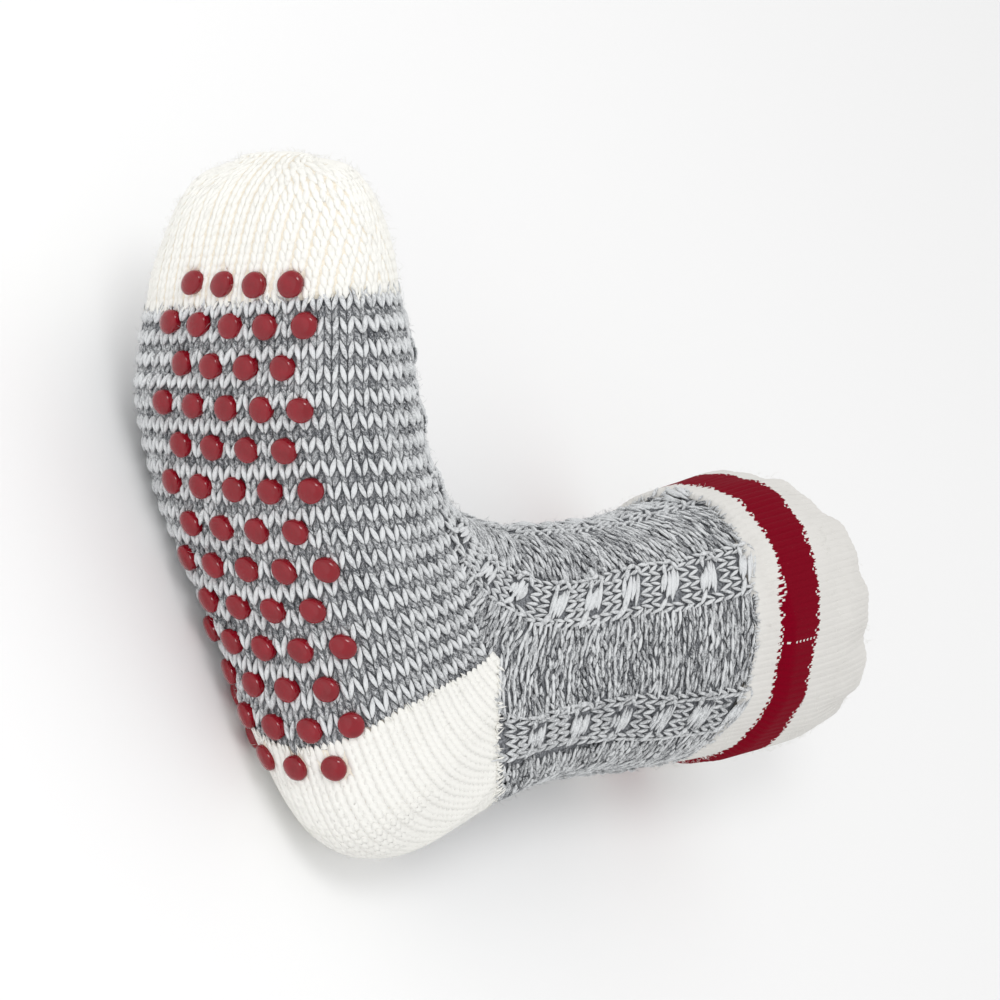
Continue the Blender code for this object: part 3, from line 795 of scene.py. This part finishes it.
# Grip dots: soft glossy domes printed on the sole half, thirteen rows of four and five by turns
gripDots = {
    "width": 0.0089, "height": 0.0030, "rows": 13, "counts": (4, 5),
    "start": 0.0449, "rowPitch": 0.0141, "pitch": 0.0152,
    "press": 0.0009, "pressFrom": 0.0050, "pressOver": 0.0020,  # how low the stitches lie beside a dot
    "middles": (0.0072, 0.0022, -0.0089),  # how far the rows' middles lie aside at the toe, halfway and at the heel
    "closer": ((0, 0.92, 0.0018), (1, 0.96, 0.0005), (3, 1.0, 0.0), (7, 1.02, 0.0), (12, 1.0, 0.0)),
    # closer: row, share of the pitch, shift aside. rings: share of the radius, share of the height
    "around": 26, "rings": ((0.99, -0.35), (1.01, 0.28), (0.99, 0.48), (0.91, 0.68), (0.75, 0.83),
                            (0.52, 0.93), (0.26, 0.985)),
}
dotTops = []


def makeDots():
    points, faces = [], []
    luck = np.random.default_rng(31)
    places = np.linspace(0, 1, skin["places"])
    toeWard, mid, heelWard = gripDots["middles"]
    rows, scales, shifts = np.array(gripDots["closer"]).T
    around, rings = gripDots["around"], len(gripDots["rings"])
    angle = np.arange(around) / around * 2 * math.pi
    for row in range(gripDots["rows"]):
        place = float(np.interp(gripDots["start"] + row * gripDots["rowPitch"], skin["soleRun"], places))
        where = 2 * row / (gripDots["rows"] - 1) - 1
        middle = mid + (heelWard - toeWard) / 2 * where + ((heelWard + toeWard) / 2 - mid) * where**2
        middle += np.interp(row, rows, shifts)
        count = gripDots["counts"][row % 2]
        for number in range(count):
            across = middle + (number - (count - 1) / 2) * gripDots["pitch"] * np.interp(row, rows, scales)
            perGirth = float(metresPerGirth(place, 0.1 * np.sign(across)))
            girth = across / perGirth
            perPlace = float(metresPerPlace(place, girth))
            one, two, three, five = luck.uniform(-0.014, 0.014, 4)
            tall = gripDots["height"] * luck.uniform(0.92, 1.08)
            wobble = 1 + one * np.cos(2 * angle) + two * np.sin(2 * angle)
            wobble = wobble + three * np.cos(3 * angle) + five * np.sin(5 * angle)
            first = len(points)
            for share, rise in gripDots["rings"]:
                radius = gripDots["width"] / 2 * share * wobble
                p = place + radius * np.sin(angle) / perPlace
                g = girth + radius * np.cos(angle) / perGirth
                points.extend((onSkin(p, g) + normalAt(p, g) * (rise * tall)).tolist())
            dotTops.append(onSkin(place, girth) + normalAt(place, girth) * tall)
            points.append(dotTops[-1].tolist())
            for r in range(rings):
                near, far = first + r * around, first + (r + 1) * around
                for k in range(around):
                    after = (k + 1) % around
                    upper = (far + after, far + k) if r < rings - 1 else (far,)
                    faces.append((near + k, near + after, *upper))
    mesh = bpy.data.meshes.new("gripDots")
    mesh.from_pydata(points, [], faces)
    mesh.shade_smooth()
    mesh.materials.append(silicone)
    return finishPiece("gripDots", mesh)


dots = makeDots()


def pressed(seats):  # stitches lie lower beside a dot
    gap = np.linalg.norm(seats["spot"][:, None] - np.array(dotTops)[None], axis=-1).min(axis=1)
    drop = gripDots["press"] * (1 - easeIn((gap - gripDots["pressFrom"]) / gripDots["pressOver"]))
    return dict(seats, spot=seats["spot"] - seats["lift"] * drop[:, None])


# Toe: ivory V stitches, evenly spaced from the sole's middle line and from the top's, meeting at the sides
toe = {"waleWidth": 0.0056, "wales": 14,
       "stitch": {"lean": 0.0, "point": 0.13, "mouth": 0.30, "reach": 0.98,
                  "width": 0.47, "thick": 0.0016, "rise": 0.0003}}


def toePlace(row, girth):
    return skin["low"] + (edge("toeEdge", girth) - skin["low"]) * row / knit["toeRows"]


def makeToe():
    seats = []
    width = toe["waleWidth"]
    for side in (-1, 1):
        for fromTop in (0, 1):
            for number in range(toe["wales"]):
                for row in range(knit["toeRows"]):
                    place = max(float(toePlace(row + 0.5, side * 0.3)), 0)
                    halfGirth = skin["lengths"][int(place * (skin["places"] - 1)), (side + 1) // 2]
                    run = (number + 0.5) * width
                    if run < halfGirth * 0.5 + 0.4 * width:
                        share = 1 - run / halfGirth if fromTop else run / halfGirth
                        seats.append((row, side * share, width / halfGirth))
    row, girth, step = np.array(seats).T
    return vStitches(toePlace, row, girth, step, 1.0, toe["stitch"])


toeKnit = layStitches("toeKnit", pressed(makeToe()), leafFine, ivory, sway=0.05, unevenness=0.05, seed=3)


# Sole half of the foot: V stitches, a light course and a dark one by turns
sole = {"light": 0.98, "dark": 0.39, "spread": 0.10, "raised": 0.00045, "lightReach": 0.78, "darkReach": 0.76,
        "stitch": {"lean": -0.10, "point": 0.06, "mouth": 0.43, "width": 0.39, "thick": 0.0019, "rise": 0.0006}}


def makeSole():
    count = int(knit["soleWales"])
    found = []
    for first, tone, raised, reach in ((0, sole["light"], sole["raised"], sole["lightReach"]),
                                       (1, sole["dark"], -sole["raised"], sole["darkReach"])):
        rows, wales = np.arange(first, knit["footRows"], 2), np.arange(-count, count + 1)
        row, number = np.meshgrid(rows, wales, indexing="ij")
        step = np.interp(footPlace(row + 0.5, 0.3), *np.array(soleSide).T) / knit["soleWales"]
        tones = tone + dice.normal(0, sole["spread"], row.shape)
        shape = dict(sole["stitch"], reach=reach)
        found.append(vStitches(footPlace, row, number * step, step, tones, shape, raised))
    return joined(*found)


soleKnit = layStitches("soleKnit", pressed(makeSole()), leafFine, ragg, sway=0.07, unevenness=0.10, seed=5)


# Heel: ivory V stitches, courses parallel to the sole's end and to the leg's start, meeting in the middle
def makeHeel():
    course = heel["course"] / float(metresPerPlace(0.5, 0.0))
    count = int(knit["soleWales"])
    step = heel["edge"] / knit["soleWales"]
    row, number = np.meshgrid(np.arange(heel["rows"]), np.arange(-count, count + 1), indexing="ij")
    girth = number * step
    middle = (edge("soleEnd", girth) + edge("legStart", girth)) / 2

    def lowerPlace(at, where):
        return edge("soleEnd", where) + at * course

    def upperPlace(at, where):
        return edge("legStart", where) - (heel["rows"] - at) * course

    inLower = lowerPlace(row + 0.5, girth) <= middle + 0.45 * course
    inUpper = upperPlace(row + 0.5, girth) > middle - 0.45 * course
    found = []
    for placeOf, mask in ((lowerPlace, inLower), (upperPlace, inUpper)):
        seats = vStitches(placeOf, row, girth, step, 1.0, heel["stitch"])
        found.append(kept(seats, np.concatenate([mask.reshape(-1)] * 2)))
    return joined(*found)


heelKnit = layStitches("heelKnit", pressed(makeHeel()), leafFine, ivory, sway=0.05, unevenness=0.05, seed=7)

# Instep and leg: short strands across, staggered like bricks, with six cables running up them
purl = {"across": 66, "perCourse": 2.6, "light": 0.78, "dark": 0.39, "spread": 0.20, "band": 0.13, "reach": 0.62,
        "width": 0.0015, "thick": 0.0012, "slant": 0.34, "stray": 0.13, "scatter": 0.12, "lengths": (0.65, 1.45),
        "widths": (0.8, 1.2), "lift": 0.0003, "toneLift": 0.0006}
cables = {
    "centres": (((.39, .69), (.468, .735), (.525, .735), (.589, .715), (.654, .70), (.718, .69), (.86, .70)),
                ((.48, .40), (.53, .385), (.566, .375), (.606, .35), (.654, .335), (.711, .325), (.86, .33))),
    "halfWidth": 0.0104, "repeat": 6, "course": 1.5, "starts": {"backSide": 0.50, "back": 0.615},
    "columns": (-8.6, -4.3, 0.0, 4.3, 8.6), "columnWidth": 4.4, "columnStray": 0.08,
    "knotStrands": 9, "stray": 0.06,
    "tones": {"front": 0.86, "frontSide": 0.93, "backSide": 0.74, "back": 0.74},
    "stitch": {"lean": 0.0, "point": 0.03, "mouth": 0.47, "reach": 0.86,
               "width": 0.34, "thick": 0.0015, "rise": 0.0003},
    "loops": (  # the strands that frame a knot: along and across of either end, width, tone, lift
        (0.7, -4.0, -0.6, -10.6, 0.0022, 1.02, 0.0012), (0.6, 4.2, 0.9, 9.0, 0.0020, 0.98, 0.0012),
        (0.8, 9.2, 2.3, 9.6, 0.0020, 0.98, 0.0012), (2.2, 9.7, 3.0, 5.0, 0.0020, 0.98, 0.0010)),
}


def cableGirths(place):  # girth of each cable's middle at a place
    inner, outer = (np.interp(place, *np.array(table).T) for table in cables["centres"])
    return (("front", 1.0 + 0 * place), ("frontSide", inner), ("backSide", outer), ("back", 0 * place))


def nearCable(place, girth, halfLength):
    found = np.zeros(np.shape(place), bool)
    for name, centre in cableGirths(place):
        gap = np.abs(np.abs(girth) - centre)
        found |= (gap * halfLength < cables["halfWidth"]) & (place > cables["starts"].get(name, -1))
    return found


# Two staggered strands for each stitch, across the foot or the leg
def purlStrands(placeOf, courses, keepWhere, seed):
    luck = np.random.default_rng(seed)
    count = purl["across"]
    step = 2 / count
    row, number = np.meshgrid(np.arange(round(courses * purl["perCourse"])), np.arange(count), indexing="ij")
    brick = 0.5 * (row % 2) + 0.25 * (row // 2 % 2)
    girth = -1 + (number + brick) * step + luck.normal(0, purl["scatter"], row.shape) * step
    at = (row + 0.5 + luck.normal(0, purl["scatter"], row.shape)) / purl["perCourse"]
    reach = purl["reach"] * step * luck.uniform(*purl["lengths"], row.shape)
    middle = placeOf(at, girth)
    sideCable = cableGirths(middle)[1][1]
    outward = np.sign(girth) * easeIn((np.abs(girth) - sideCable) / 0.08)
    slant = luck.normal(0, purl["stray"], row.shape) + purl["slant"] * outward
    phase = luck.uniform(0, 2 * math.pi, (courses + 2, 2))[np.floor(at).astype(int) + 1]
    band = np.sin(phase[..., 0] + 7 * girth) + 0.7 * np.sin(phase[..., 1] - 15 * girth)
    tone = np.where(row % 2 == 0, purl["light"], purl["dark"])
    tone = tone + luck.normal(0, purl["spread"], row.shape) + purl["band"] * band
    lift = luck.uniform(-purl["lift"], purl["lift"], row.shape) + purl["toneLift"] * (tone - 0.5)
    seats = strands(placeOf(at + slant, girth - reach), girth - reach,
                    placeOf(at - slant, girth + reach), girth + reach,
                    purl["width"] * luck.uniform(*purl["widths"], row.shape), purl["thick"], tone, lift)
    return kept(seats, keepWhere(middle, girth) & ~nearCable(middle, girth, metresPerGirth(middle, girth)))


def outsideSole(place, girth):
    return np.abs(girth) > np.interp(place, *np.array(soleSide).T) + 0.012


def outsideHeel(place, girth):
    return (place > edge("legStart", girth)) | (np.abs(girth) > heel["edge"])


instepSeats = purlStrands(footPlace, knit["footRows"], outsideSole, 21)
instepKnit = layStitches("instepKnit", instepSeats, leafFine, ragg, sway=0.12, unevenness=0.14, seed=9)
legSeats = purlStrands(legPlace, knit["legRows"], outsideHeel, 22)
legKnit = layStitches("legKnit", legSeats, leafFine, ragg, sway=0.12, unevenness=0.14, seed=10)


def makeCables():  # knots of fuzzy crossing strands, with open V stitches around them
    found = []
    luck = np.random.default_rng(23)
    course = cables["course"]

    def cableCourse(placeOf, row, index, mirror):
        name, centre = cableGirths(placeOf(row + 0.5, 0.7))[index]
        centre = mirror * float(centre)
        place = float(placeOf(row + 0.5, centre))
        if name in cables["starts"] and (placeOf is footPlace or place < cables["starts"][name]):
            return
        millimetre = 0.001 / float(metresPerGirth(place, centre))
        shine = cables["tones"][name]
        phase = (row + 2) % cables["repeat"]

        def strand(along1, across1, along2, across2, width, tone, lift):
            one, two = centre + mirror * across1 * millimetre, centre + mirror * across2 * millimetre
            shade = np.array([tone * shine + luck.normal(0, cables["stray"])])
            found.append(strands(placeOf(row + along1, one), one, placeOf(row + along2, two), two,
                                 width, width * 0.8, shade, lift))

        for across in cables["columns"]:
            if phase < 2 * course and abs(across) < 5:
                continue  # the knot's room
            where = np.array([centre + mirror * across * millimetre])
            tone = np.array([shine + luck.normal(0, cables["columnStray"])])
            found.append(vStitches(placeOf, np.array([row + 0.3]), where, cables["columnWidth"] * millimetre,
                                   tone, cables["stitch"], 0.0003))
        if phase < course:
            for number in range(cables["knotStrands"]):
                share = number / (cables["knotStrands"] - 1)
                low, high = luck.uniform(-7.5, -2.5), luck.uniform(2.5, 7.0)
                along = -0.1 + 1.9 * share + luck.normal(0, 0.12)
                lift = 0.0010 + 0.0008 * math.sin(math.pi * share)
                strand(along, low, along + 0.075 * (high - low), high, 0.0019, 1.12, lift)
            for loop in cables["loops"]:
                strand(*loop)

    for placeOf, rowCount in ((footPlace, knit["footRows"]), (legPlace, knit["legRows"])):
        for number in range(round(rowCount / course)):
            for index, mirror in ((0, 1), (1, 1), (1, -1), (2, 1), (2, -1), (3, 1)):
                cableCourse(placeOf, number * course, index, mirror)
    return joined(*found)


cableKnit = layStitches("cableKnit", makeCables(), leafFine, ragg, sway=0.11, unevenness=0.15, seed=12)


# Cuff: fine ribs in ivory with one red stripe, over the rim and down inside
def makeCuff():
    columns = cuff["ribs"] * cuff["perRib"]
    girths = -1 + 2 * np.arange(columns) / columns
    ribPlace = np.arange(columns) / cuff["perRib"]
    rib = np.abs(np.cos(math.pi * ribPlace)) ** 0.7
    share = np.linspace(0, 1, cuff["outerRows"])[:, None]
    start = edge("greyEnd", girths)[None, :] - 0.001
    place = start + (0.99995 - start) * share
    girth = np.broadcast_to(girths, place.shape)
    normal = normalAt(place, girth)
    turn = math.pi * girth
    puff = 0.0010 * np.sin(5 * turn + 0.6) * np.sin(2.2 + 9 * place)  # soft waves, strongest at the rim
    puff = puff + 0.0009 * np.sin(11 * turn + 2.1) + 0.0004 * np.sin(23 * turn + 30 * place)
    nearRim = easeIn((place - 0.93) / 0.07)
    tuck = easeIn((place - start) / 0.006) * 0.0016 - 0.0012
    curl = curlAt(place, girth)
    lift = tuck + cuff["ribHeight"] * rib + puff * (0.35 + 0.8 * nearRim) - curl
    outer = onSkin(place, girth) + normal * lift[..., None]
    along = unit(onSkin(np.full(columns, 0.9995), girths, "alongStep"))
    wall = wornForm["wall"] + wornForm["cuffProud"]
    radius = (wall + 0.0010 - curl[-1])[:, None] / 2
    rim = rimRings(outer[-1], normal[-1], along, radius, cuff["rimSteps"], 1.15)
    innerPlace = 1.0 - np.linspace(0, 1, cuff["innerRows"])[:, None] * cuff["innerDepth"] + 0 * girths
    innerGirth = np.broadcast_to(girths, innerPlace.shape)
    depth = wall + 0.0006 - easeIn((1 - innerPlace) / cuff["innerDepth"]) * 0.0009
    inner = onSkin(innerPlace, innerGirth) - normalAt(innerPlace, innerGirth) * (depth - 0.0004 * rib)[..., None]
    grid = np.concatenate([outer, rim, inner])
    mesh = sheetMesh("cuffRib", grid)
    scale = metresPerPlace(place, girth) * 1000
    # Rib number, and how many millimetres inside either edge of the stripe
    stripe = np.full((len(grid), columns, 3), -20, np.float32)
    stripe[..., 0] = ribPlace
    stripe[:len(outer), :, 1] = (place - edge("redStart", girth)) * scale
    stripe[:len(outer), :, 2] = (edge("redEnd", girth) - place) * scale
    mesh.attributes.new("stripe", "FLOAT_VECTOR", "POINT").data.foreach_set("vector", stripe.reshape(-1))
    mesh.materials.append(cuffWool)
    return finishPiece("cuffRib", mesh)


cuffPiece = makeCuff()

# Loose fibres that stand off the wool
haze = {"count": 9500, "length": (0.0016, 0.0044), "width": 0.00010, "stand": (0.15, 0.95), "tone": 0.93,
        "dotClear": 0.0075, "floorClear": 0.004}


def makeFibres(wantGrey, seed):
    luck = np.random.default_rng(seed)
    place, girth = luck.uniform(-0.008, 0.995, haze["count"]), luck.uniform(-1, 1, haze["count"])
    red = (place > edge("redStart", girth) - 0.006) & (place < edge("redEnd", girth) + 0.006)
    spot = onSkin(place, girth)
    nearest = np.linalg.norm(spot[:, None] - np.array(dotTops)[None], axis=-1).min(axis=1)
    clear = (nearest > haze["dotClear"]) & (spot[:, 2] > haze["floorClear"])
    use = (inGrey(place, girth) == wantGrey) & ~red & clear
    place, girth = place[use], girth[use]
    normal = normalAt(place, girth)
    turn = luck.uniform(0, 2 * math.pi, len(place))[:, None]
    along, across = unit(onSkin(place, girth, "alongStep")), unit(onSkin(place, girth, "ringStep"))
    flat = along * np.cos(turn) + across * np.sin(turn)
    stand = luck.uniform(*haze["stand"], len(place))[:, None]
    onward = unit(flat * np.cos(stand) + normal * np.sin(stand))
    length = luck.uniform(*haze["length"], len(place))
    proud = np.where(place > edge("greyEnd", girth), 0.0012, 0.0002) - curlAt(place, girth)
    spot = onSkin(place, girth) + normal * proud[:, None] + onward * (length * 0.42)[:, None]
    width = np.full(len(place), haze["width"])
    return {"spot": spot, "onward": onward, "lift": normal, "size": np.stack([length, width, width], -1),
            "tone": np.full(len(place), haze["tone"])}


fibreMesh = leafMesh("fibreLeaf", around=3, stations=(0.0, 0.33, 0.72, 1.0), bow=6.0)
fibreLeaf = bpy.data.objects.new("fibreLeaf", fibreMesh)
greyFibres = layStitches("greyFibres", makeFibres(True, 41), fibreLeaf, ragg, sway=0.5, unevenness=0.3, seed=14)
ivoryFibres = layStitches("ivoryFibres", makeFibres(False, 43), fibreLeaf, ivory, sway=0.5, unevenness=0.3, seed=15)

# Short strands that cross the lines where one yarn ends and the next begins
fringe = {
    "length": (0.0022, 0.0050), "width": 0.00060, "fan": 0.40,
    # The line, how many strands, the girths that they span, and which way they point
    "ivory": (("legStart", 260, 0.53, 1), ("soleEnd", 60, 0.50, -1), ("toeEdge", 80, 1.0, 1)),
    "grey": (("greyEnd", 260, 1.0, 1), ("legStart", 50, 0.53, -1), ("toeEdge", 50, 1.0, -1)),
}


def makeFringe(lines, seed):
    luck = np.random.default_rng(seed)
    found = []
    for name, count, span, way in lines:
        girth = luck.uniform(-span, span, count)
        place = edge(name, girth)
        perPlace, perGirth = metresPerPlace(place, girth), metresPerGirth(place, girth)
        length = luck.uniform(*fringe["length"], count)
        turn = luck.normal(0, fringe["fan"], count)
        start = place - way * 0.35 * length / perPlace
        end = place + way * 0.65 * length * np.cos(turn) / perPlace
        width = fringe["width"] * luck.uniform(0.6, 1.5, count)
        tone = 0.95 + luck.normal(0, 0.1, count)
        found.append(strands(start, girth, end, girth + length * np.sin(turn) / perGirth, width, width, tone,
                             luck.uniform(0.0002, 0.0009, count)))
    return joined(*found)


ivorySeats, greySeats = makeFringe(fringe["ivory"], 51), makeFringe(fringe["grey"], 53)
ivoryFringe = layStitches("ivoryFringe", ivorySeats, leafFine, ivory, sway=0.2, unevenness=0.3, seed=16)
greyFringe = layStitches("greyFringe", greySeats, leafFine, ragg, sway=0.2, unevenness=0.3, seed=17)


def pointOutward(piece):  # the sheets made here turn their faces away from the skin's middle
    mesh = piece.data
    points, normals = vertexValues(mesh, "co"), vertexValues(mesh, "normal")
    every = max(1, len(points) // 400)
    grid, outward = skin["points"].reshape(-1, 3), skin["normal"].reshape(-1, 3)
    votes = 0.0
    for point, normal in zip(points[::every][:400], normals[::every][:400]):
        near = ((grid - point) ** 2).sum(axis=1).argmin()
        votes += float(np.dot(normal, outward[near]))
    if votes < 0:
        mesh.flip_normals()
    print("  ", piece.name, "faces", "turned" if votes < 0 else "kept")


for piece in (sockGround, cuffPiece, dots):
    pointOutward(piece)

for piece in (sockGround, toeKnit, soleKnit, heelKnit, instepKnit, legKnit, cableKnit, cuffPiece,
              greyFibres, ivoryFibres, ivoryFringe, greyFringe):
    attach(piece, "root")
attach(dots, "root")
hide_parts("sock_knit")
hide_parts(*[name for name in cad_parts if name.startswith("grip_dot")])
print("pieces ride on the frame")

# Floor, light and camera
view = {"azimuth": -16.52, "elevation": 34.74, "roll": 93.74, "distance": 1.07919, "target": (-0.110, 0.110, 0.0),
        "lens": 107.19, "shift": (0.02744, 0.0005)}


def stand(thing, axes, spot):  # points an object's own axes the given ways, from the spot
    matrix = np.eye(4)
    matrix[:3, :3] = np.array(axes).T
    matrix[:3, 3] = spot
    thing.matrix_world = Matrix(matrix.tolist())


def makeCamera():  # seen as in the photograph from the upright foot, then laid down with it
    azimuth, elevation, roll = (math.radians(view[key]) for key in ("azimuth", "elevation", "roll"))
    level = math.cos(elevation)
    back = np.array([math.sin(azimuth) * level, -math.cos(azimuth) * level, math.sin(elevation)])
    right = np.array([math.cos(azimuth), math.sin(azimuth), 0])
    up = np.cross(back, right)
    rolledRight = right * math.cos(roll) + up * math.sin(roll)
    rolledUp = up * math.cos(roll) - right * math.sin(roll)
    axes = [np.array(turned(*axis)) for axis in (rolledRight, rolledUp, back)]
    spot = np.array(turned(*(np.array(view["target"]) + back * view["distance"])))
    spot = spot + (*wornForm["restShift"], -wornForm["restLevel"])
    data = bpy.data.cameras.new("photoView")
    data.lens, data.sensor_width = view["lens"], 36.0
    data.shift_x, data.shift_y = view["shift"]
    data.clip_start, data.clip_end = 0.05, 20.0
    camera = newObject("photoView", data)
    stand(camera, axes, spot)
    bpy.context.scene.camera = camera
    return axes


pictureRight, pictureUp, pictureBack = makeCamera()
worldLight = 0.86
lights = {  # how far back, right and up in the picture, and above; distance, size, power
    "keySoft": (1.0, 0.40, 0.60, 0.3, 1.1, 1.3, 0.6),
    "glintSoft": (1.0, 0.30, 0.40, 0.0, 1.25, 0.42, 3.4),
    "fillSoft": (0.8, -1.0, -0.3, 0.4, 1.4, 1.6, 2.2),
}

for name, (back, right, up, above, distance, size, power) in lights.items():
    data = bpy.data.lights.new(name, "AREA")
    data.shape, data.size, data.energy = "DISK", size, power
    aim = unit(pictureBack * back + pictureRight * right + pictureUp * up + np.array([0, 0, above]))
    sideways = unit(np.cross((0.0, 0.0, 1.0) if abs(aim[2]) < 0.95 else (1.0, 0.0, 0.0), aim))
    spot = np.array([0.0, 0.0, 0.05]) + aim * distance
    stand(newObject(name, data), (sideways, np.cross(aim, sideways), aim), spot)

world = bpy.data.worlds.new("studio")
bpy.context.scene.world = world
world.use_nodes = True
setInputs(world.node_tree, world.node_tree.nodes["Background"], {"Color": (1, 1, 1, 1), "Strength": worldLight})

floorMesh = bpy.data.meshes.new("paleFloor")
floorMesh.from_pydata([(-4, -4, 0), (4, -4, 0), (4, 4, 0), (-4, 4, 0)], [], [(0, 1, 2, 3)])
paleFloor = newObject("paleFloor", floorMesh)
floorMaterial, floorTree, floorShader = newMaterial("paleFloor")
setInputs(floorTree, floorShader, {"Base Color": (0.94, 0.94, 0.94, 1), "Roughness": 0.9})
floorMesh.materials.append(floorMaterial)
bpy.context.scene.view_settings.view_transform = "Standard"
print("floor, light and camera ready")

bpy.context.view_layer.update()
